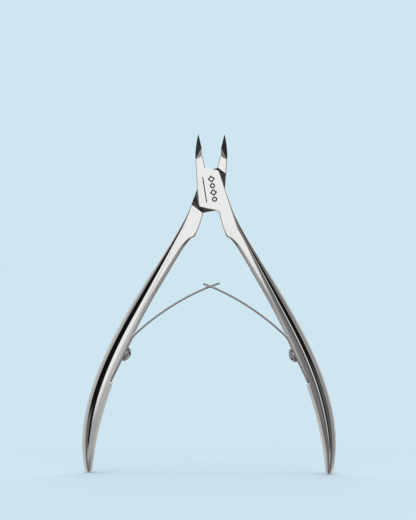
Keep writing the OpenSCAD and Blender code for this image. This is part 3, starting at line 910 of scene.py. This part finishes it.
def smudges():
    """Soft cloudy patches, as from handling and wiping, between 0 and 1."""
    group, given, result = effect("smudges", [
        VECTOR, ("Scale", "Float", 150), ("Amount", "Float", 0.5)], [MASK])
    noise = add(group, "TexNoise", in_Vector=given["Vector"], in_Scale=given["Scale"], in_Detail=4,
                in_Roughness=0.6, in_Distortion=0.6).outputs["Fac"]
    patch = add(group, "MapRange", interpolation_type="SMOOTHSTEP", in_Value=noise, in_1=0.42, in_2=0.68,
                in_3=0.0, in_4=1.0).outputs[0]
    group.links.new(maths(group, "MULTIPLY", patch, given["Amount"]), result["Mask"])
    return group


def edge_rub():
    """Wear along narrow edges: the piece's own edge mark, broken up by noise."""
    group, given, result = effect("edge_rub", [
        VECTOR, ("Edge", "Float", 0), ("Scale", "Float", 900), ("Amount", "Float", 0.5)], [MASK])
    noise = add(group, "TexNoise", in_Vector=given["Vector"], in_Scale=given["Scale"], in_Detail=3)
    broken = maths(group, "MULTIPLY", maths(group, "SUBTRACT", noise.outputs["Fac"], 0.35), 2.2)
    worn = maths(group, "MULTIPLY", maths(group, "MULTIPLY", broken, given["Edge"]), given["Amount"])
    group.links.new(maths(group, "MAXIMUM", worn, 0.0), result["Mask"])
    return group


def grain_lines():
    """Parallel grinding or rolling lines: noise drawn out across the direction of the lines."""
    group, given, result = effect("grain_lines", [
        VECTOR, ("Scale", "Float", 4000), ("Draw", "Float", 0.04)], [("Height", "Float")])
    parts = add(group, "SeparateXYZ", in_0=given["Vector"]).outputs
    lines = add(group, "CombineXYZ", in_0=maths(group, "MULTIPLY", parts[0], given["Draw"]), in_1=parts[1],
                in_2=parts[2]).outputs[0]
    noise = add(group, "TexNoise", in_Vector=lines, in_Scale=given["Scale"], in_Detail=3, in_Roughness=0.65)
    group.links.new(noise.outputs["Fac"], result["Height"])
    return group


def placed(tree, group, **values):
    """The first output of a node group placed in a material."""
    node = tree.nodes.new("ShaderNodeGroup")
    node.node_tree = group
    for key, value in values.items():
        feed(tree, node.inputs[key], value)
    return node.outputs[0]


def new_material(name):
    """An empty node material with a Principled shader joined to its output, and its Object coordinates."""
    material = bpy.data.materials.new(name)
    material.use_nodes = True
    tree = material.node_tree
    tree.nodes.clear()
    shader = add(tree, "BsdfPrincipled")
    output = add(tree, "OutputMaterial")
    tree.links.new(shader.outputs[0], output.inputs["Surface"])
    return material, tree, shader, add(tree, "TexCoord").outputs["Object"]


def turned_vector(tree, vector, turn):
    """Object coordinates turned about the y axis."""
    return add(tree, "Mapping", in_Vector=vector, in_Rotation=(0, turn, 0)).outputs[0]


def tinted(tree, colour_value, mask, darker):
    """A colour that goes towards a darker share of itself where the mask is high."""
    low = tuple(c * darker for c in colour_value)
    mix = add(tree, "Mix", data_type="RGBA", in_Factor=mask, in_A=(*colour_value, 1), in_B=(*low, 1))
    return mix.outputs["Result"]


def dress(tree, shader, base, rough, metal, height=None, strength=0.12, depth=0.00002):
    """Joins a colour and a roughness to the shader, and a bump where there is a height."""
    tree.links.new(rough, shader.inputs["Roughness"])
    tree.links.new(base, shader.inputs["Base Color"])
    if height is not None:
        bump = add(tree, "Bump", in_Strength=strength, in_Distance=depth, in_Height=height)
        tree.links.new(bump.outputs[0], shader.inputs["Normal"])
    shader.inputs["Metallic"].default_value = metal


def polished_steel(f, effects):
    """Mirror polish: hair scratches and faint wiping marks in the gloss, duller rubbed edges."""
    material, tree, shader, where = new_material("polished_steel")
    way = turned_vector(tree, where, 0.35)
    scratch = placed(tree, effects.scratches, Vector=way, Scale=5200.0, Stretch=0.012, Amount=1.0)
    cloud = placed(tree, effects.smudges, Vector=where, Scale=120.0, Amount=1.0)
    edge = add(tree, "Attribute", attribute_name="worn").outputs["Fac"]
    rub = placed(tree, effects.rub, Vector=where, Edge=edge, Scale=1200.0, Amount=0.6)
    rough = maths(tree, "MULTIPLY_ADD", scratch, 0.035, f.polish)
    rough = maths(tree, "MULTIPLY_ADD", cloud, 0.035, rough)
    rough = maths(tree, "MULTIPLY_ADD", rub, 0.18, rough)
    base = tinted(tree, f.steel, maths(tree, "MULTIPLY_ADD", cloud, 0.25, rub), 0.9)
    dress(tree, shader, base, rough, 1, scratch, strength=0.008)
    return material


def ground(effects, name, tint, turn, rough):
    """Ground faces: fine parallel lines left by the wheel, in the colour and at the turn given."""
    material, tree, shader, where = new_material(name)
    lines = placed(tree, effects.grain, Vector=turned_vector(tree, where, turn), Scale=9000.0, Draw=0.03)
    rough = maths(tree, "MULTIPLY_ADD", lines, 0.1, rough - 0.04)
    dress(tree, shader, tinted(tree, tint, lines, 0.75), rough, 1, lines, depth=0.00001)
    return material


def ground_steel(f, effects):
    """Ground jaw bevels and hollows."""
    return ground(effects, "ground_steel", f.ground, -0.2, f.grinding)


def relief_steel(f, effects):
    """Satin relief below the jaw bevels."""
    return ground(effects, "relief_steel", f.relief, 0.9, 0.3)


def lap_steel(f, effects):
    """Lap faces, holes and screwdriver slots: near-black painted shade, darker in noise patches, with a fine
    criss-cross of lapping marks.
    """
    material, tree, shader, where = new_material("lap_steel")
    one = placed(tree, effects.grain, Vector=turned_vector(tree, where, 0.6), Scale=6000.0, Draw=0.05)
    other = placed(tree, effects.grain, Vector=turned_vector(tree, where, -0.7), Scale=6000.0, Draw=0.05)
    height = maths(tree, "ADD", one, other)
    # painted shade: the colour goes towards near-black everywhere, and darker still in patches of noise
    shade_patch = placed(tree, effects.smudges, Vector=where, Scale=420.0, Amount=1.0)
    base = tinted(tree, f.lap, maths(tree, "MULTIPLY_ADD", shade_patch, 0.5, 0.5), 0.03)
    dress(tree, shader, base, maths(tree, "MULTIPLY_ADD", height, 0.12, 0.26), 0.85, height, strength=0.3)
    return material


def spring_steel(f, effects):
    """Rolled spring strip: lines along the leaf, a warm tint in patches and duller stretches; its base colour
    is set darker partly as painted shade.
    """
    material, tree, shader, where = new_material("spring_steel")
    lines = placed(tree, effects.grain, Vector=turned_vector(tree, where, 0.55), Scale=5000.0, Draw=0.02)
    cloud = placed(tree, effects.smudges, Vector=where, Scale=260.0, Amount=1.0)
    rough = maths(tree, "MULTIPLY_ADD", cloud, 0.1, maths(tree, "MULTIPLY_ADD", lines, 0.12, 0.12))
    dress(tree, shader, tinted(tree, f.spring, cloud, 0.8), rough, 1, lines)
    return material


def screw_steel(f, effects):
    """Turned screws: brushed by cleaning, with small scuffs."""
    material, tree, shader, where = new_material("screw_steel")
    way = turned_vector(tree, where, 0.9)
    scratch = placed(tree, effects.scratches, Vector=way, Scale=4200.0, Stretch=0.05, Amount=1.0)
    cloud = placed(tree, effects.smudges, Vector=where, Scale=900.0, Amount=1.0)
    rough = maths(tree, "MULTIPLY_ADD", cloud, 0.06, maths(tree, "MULTIPLY_ADD", scratch, 0.08, 0.05))
    dress(tree, shader, tinted(tree, f.screw, cloud, 0.7), rough, 1, scratch)
    return material


def engraved_fill(f, effects):
    """Etched and blackened lines: dull, with a little grain."""
    material, tree, shader, where = new_material("engraved_fill")
    cloud = placed(tree, effects.smudges, Vector=where, Scale=4000.0, Amount=1.0)
    rough = maths(tree, "MULTIPLY_ADD", cloud, 0.2, 0.5)
    dress(tree, shader, tinted(tree, f.engraving, cloud, 0.5), rough, 0.3)
    return material


def finishes():
    """Every finish, made once and found again by its name."""
    makers = {"steel": polished_steel, "ground": ground_steel, "relief": relief_steel, "lap": lap_steel,
              "spring": spring_steel, "screw": screw_steel, "engraved": engraved_fill}
    if "polished_steel" not in bpy.data.materials:
        f = in_mm(bpy.context.scene.nipper_finish)
        effects = SimpleNamespace(scratches=fine_scratches(), smudges=smudges(), rub=edge_rub(),
                                  grain=grain_lines())
        for maker in makers.values():
            maker(f, effects)
    return SimpleNamespace(**{key: bpy.data.materials[maker.__name__] for key, maker in makers.items()})


# ---- Stage -----------------------------------------------------------------------------------------

CARD_SHAPE = ("Middle", "Height", "Half width", "Half height", "Border", "Fade")


def light_card():
    """How far a direction lies inside a card of light: azimuth and elevation within half its width and
    half its height of its middle, with a soft border at the sides and a soft fade above and below."""
    inputs = [(label, "Float", 0) for label in ("Azimuth", "Elevation", *CARD_SHAPE)]
    group, given, result = effect("light_card", inputs, [("Mask", "Float")])

    def inside(value, middle, half, soft):
        """1 where the value is within half of the middle, 0 outside, smooth over a soft border."""
        away = maths(group, "ABSOLUTE", maths(group, "SUBTRACT", value, middle))
        depth = maths(group, "DIVIDE", maths(group, "SUBTRACT", half, away), soft)
        smooth = add(group, "MapRange", interpolation_type="SMOOTHSTEP", in_Value=depth, in_1=-0.5, in_2=0.5)
        return smooth.outputs[0]

    across = inside(given["Azimuth"], given["Middle"], given["Half width"], given["Border"])
    up = inside(given["Elevation"], given["Height"], given["Half height"], given["Fade"])
    group.links.new(maths(group, "MULTIPLY", across, up), result["Mask"])
    return group


ROOM = 0.5  # brightness of the room between the cards
# Cards of light and shade: name, azimuth (0 behind the camera, 90 to its right), elevation, half width,
# half height, side border and fade in degrees, and brightness. Later cards lie over earlier ones.
CARDS = (
    ("front_wall", -1, 38, 42, 40, 6, 3.6, 1.0),
    ("left_low", -24, -20, 18, 24, 8, 8, 0.42),
    ("right_low", 19, -15, 14.5, 36, 5, 4, 0.2),
    ("right_floor", 9, -27, 9, 26, 3, 1.6, 0.16),
    ("right_dim", 29, -15, 5, 32, 8, 4, 0.09),
    ("right_strip", 36.5, 4, 3, 5.5, 3, 3, 0.66),
    ("right_wall", 115, 20, 35, 34, 20, 10, 0.32),
    ("low_front", 0, -58, 84, 42, 6, 12, 0.2),
    ("under", 0, -90, 400, 30, 10, 16, 0.1),
    ("right_flag", 58, 32, 18, 30, 5, 5, 0.008),
    ("right_line", 47, 5, 7, 12, 5, 8, 0.01),
    ("right_dusk", 66, -12, 15, 28, 9, 6, 0.1),
    ("left_flag", -62, 32, 24, 36, 4, 5, 0.006),
    ("left_line", -48, 4, 9, 10, 4, 8, 0.008),
    ("left_dusk", -70, -18, 15, 26, 4, 6, 0.14),
    ("right_jaw_flag", 90, 50, 40, 22, 6, 6, 0.008),
    ("left_jaw_flag", -90, 50, 40, 22, 6, 6, 0.008),
    ("overhead", 0, 90, 400, 13, 10, 6, 4.0),
    ("back_wall_right", 180, 20, 40, 45, 8, 10, 0.95),
    ("back_wall_left", -180, 20, 40, 45, 8, 10, 0.95),
)


def studio_world(backdrop):
    """Plain backdrop for the camera, and for light and reflections a studio of soft cards round a pale
    room. Directions come from the world's own coordinates."""
    world = bpy.data.worlds.new("studio")
    world.use_nodes = True
    tree = world.node_tree
    tree.nodes.clear()
    card = light_card()
    parts = add(tree, "SeparateXYZ", in_0=add(tree, "TexCoord").outputs["Generated"]).outputs
    turn = maths(tree, "ARCTAN2", parts[0], maths(tree, "MULTIPLY", parts[1], -1))
    azimuth = maths(tree, "MULTIPLY", turn, math.degrees(1))
    elevation = maths(tree, "MULTIPLY", maths(tree, "ARCSINE", parts[2]), math.degrees(1))
    level = ROOM
    for name, *shape, bright in CARDS:
        mask = placed(tree, card, Azimuth=azimuth, Elevation=elevation, **dict(zip(CARD_SHAPE, shape)))
        mix = add(tree, "Mix", data_type="FLOAT", label=name, in_Factor=mask, in_A=level, in_B=bright)
        level = mix.outputs["Result"]
    studio = add(tree, "Background")
    tree.links.new(level, studio.inputs["Color"])
    plain = add(tree, "Background", in_Color=(*backdrop, 1))
    seen = add(tree, "LightPath").outputs["Is Camera Ray"]
    choice = add(tree, "MixShader", in_0=seen, in_1=studio.outputs[0], in_2=plain.outputs[0])
    tree.links.new(choice.outputs[0], add(tree, "OutputWorld").inputs["Surface"])
    return world


FLOOR_GREY = (0.26, 0.26, 0.26)
FLOOR_R = 20  # radius of the floor, in metres
SENSOR = 36  # width and height of the camera's sensor, in millimetres


def floor_plane():
    """A wide round floor that only takes shadows, so that it runs into the backdrop."""
    a = np.linspace(0, 2 * math.pi, 64, endpoint=False)
    mesh = bpy.data.meshes.new("floor")
    rim = np.stack([FLOOR_R * np.cos(a), FLOOR_R * np.sin(a), np.zeros(64)], 1)
    mesh.from_pydata(rim, [], [list(range(64))])
    material, tree, shader, where = new_material("floor_paper")
    fleck = placed(tree, bpy.data.node_groups["smudges"], Vector=where, Scale=40.0, Amount=0.1)
    tree.links.new(tinted(tree, FLOOR_GREY, fleck, 0.96), shader.inputs["Base Color"])
    shader.inputs["Roughness"].default_value = 0.9
    mesh.materials.append(material)
    floor = bpy.data.objects.new("floor", mesh)
    bpy.context.scene.collection.objects.link(floor)
    floor.is_shadow_catcher = True
    floor.visible_glossy = False
    return floor


def studio_camera(g):
    """A long lens at the height of the nipper's middle, square to its front face."""
    data = bpy.data.cameras.new("camera")
    camera = bpy.data.objects.new("camera", data)
    bpy.context.scene.collection.objects.link(camera)
    data.sensor_width = SENSOR
    data.lens = SENSOR * g.camera_distance / g.view_height
    data.clip_start, data.clip_end = 0.05, 60
    camera.location = (-g.camera_side * MM, -g.camera_distance * MM, g.camera_height * MM)
    camera.rotation_euler = (math.pi / 2, g.camera_roll, 0)
    bpy.context.scene.camera = camera
    return camera


# ---- Operators -------------------------------------------------------------------------------------


def sizes():
    """Sizes of the levers and the springs, in millimetres."""
    return in_mm(bpy.context.scene.nipper_lever), in_mm(bpy.context.scene.nipper_spring)


class NIPPER_OT_front_lever(bpy.types.Operator):
    """Make the front lever: front plate, jaw and right handle"""
    bl_idname = "nipper.front_lever"
    bl_label = "Front lever"

    def execute(self, context):
        obj = place(lever("front_lever_forging", *sizes(), -1, finishes()), turn=HALF_OPEN)
        hand_over(obj, "front_lever", "lever_steel", "front_lever")
        return {"FINISHED"}


class NIPPER_OT_back_lever(bpy.types.Operator):
    """Make the back lever: back plate, jaw and left handle"""
    bl_idname = "nipper.back_lever"
    bl_label = "Back lever"

    def execute(self, context):
        obj = place(lever("back_lever_forging", *sizes(), 1, finishes()), back=True, turn=HALF_OPEN)
        hand_over(obj, "back_lever", "lever_steel", "back_lever")
        return {"FINISHED"}


class NIPPER_OT_pivot_screw(bpy.types.Operator):
    """Make the pivot screw"""
    bl_idname = "nipper.pivot_screw"
    bl_label = "Pivot screw"

    def execute(self, context):
        s, _ = sizes()
        obj = place(pivot_screw("pivot_screw_turned", s, finishes()))
        hand_over(obj, "front_lever", "screw_steel", "pivot_screw")
        return {"FINISHED"}


class NIPPER_OT_leaf_springs(bpy.types.Operator):
    """Make both leaf springs, each in one strip, set and curved between its foot on the lever and its free
    blade
    """
    bl_idname = "nipper.leaf_springs"
    bl_label = "Leaf springs"

    def execute(self, context):
        s, p = sizes()
        for side, lever_body in (("right", "front_lever"), ("left", "back_lever")):
            obj, line, run = leaf(f"{side}_leaf_spring", s, p, side == "left", finishes())
            place(obj, back=side == "left")
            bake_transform(obj)
            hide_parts(f"{side}_spring_foot", f"{side}_spring_blade")
        return {"FINISHED"}


class NIPPER_OT_spring_screws(bpy.types.Operator):
    """Make both spring screws"""
    bl_idname = "nipper.spring_screws"
    bl_label = "Spring screws"

    def execute(self, context):
        s, p = sizes()
        for side, body in (("right", "front_lever"), ("left", "back_lever")):
            obj = place(spring_screw(f"{side}_round_screw", s, p, finishes()), back=side == "left")
            hand_over(obj, body, "screw_steel", f"{side}_spring_screw")
        return {"FINISHED"}


class NIPPER_OT_stage(bpy.types.Operator):
    """Make the floor, the studio light and the camera"""
    bl_idname = "nipper.stage"
    bl_label = "Stage"

    def execute(self, context):
        g = in_mm(context.scene.nipper_stage)
        finishes()
        context.scene.world = studio_world(g.backdrop)
        floor_plane()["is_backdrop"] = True
        studio_camera(g)
        context.scene.view_settings.view_transform = "Standard"
        return {"FINISHED"}


class NIPPER_PT_panel(bpy.types.Panel):
    """Nipper pieces and sizes in the sidebar"""
    bl_label = "Cuticle nipper"
    bl_space_type = "VIEW_3D"
    bl_region_type = "UI"
    bl_category = "Nipper"

    def draw(self, context):
        for operator in OPERATORS:
            self.layout.operator(operator.bl_idname)
        for owner in GROUPS:
            group = getattr(context.scene, owner)
            for key in own_keys(group):
                self.layout.prop(group, key)


GROUPS = {"nipper_lever": LeverSizes, "nipper_spring": SpringSizes, "nipper_finish": NipperFinish,
          "nipper_stage": NipperStage}
OPERATORS = (NIPPER_OT_front_lever, NIPPER_OT_back_lever, NIPPER_OT_pivot_screw, NIPPER_OT_leaf_springs,
             NIPPER_OT_spring_screws, NIPPER_OT_stage)


def register():
    """Registers the property groups, the operators and the panel."""
    for cls in (*GROUPS.values(), *OPERATORS, NIPPER_PT_panel):
        bpy.utils.register_class(cls)
    for owner, group in GROUPS.items():
        setattr(bpy.types.Scene, owner, PointerProperty(type=group))


def unregister():
    """Takes everything out again, in reverse order."""
    for owner in GROUPS:
        delattr(bpy.types.Scene, owner)
    for cls in reversed((*GROUPS.values(), *OPERATORS, NIPPER_PT_panel)):
        bpy.utils.unregister_class(cls)


def main():
    """Makes every piece and the stage, and works out the frame's box and the finished model's box."""
    register()
    for operator in OPERATORS:
        family, name = operator.bl_idname.split(".")
        getattr(getattr(bpy.ops, family), name)()
    boxes = {"cad": CAD_BOX, "visual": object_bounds()}
    boxes = {label: [list(corner) for corner in box] for label, box in boxes.items()}


if __name__ == "__main__":
    main()
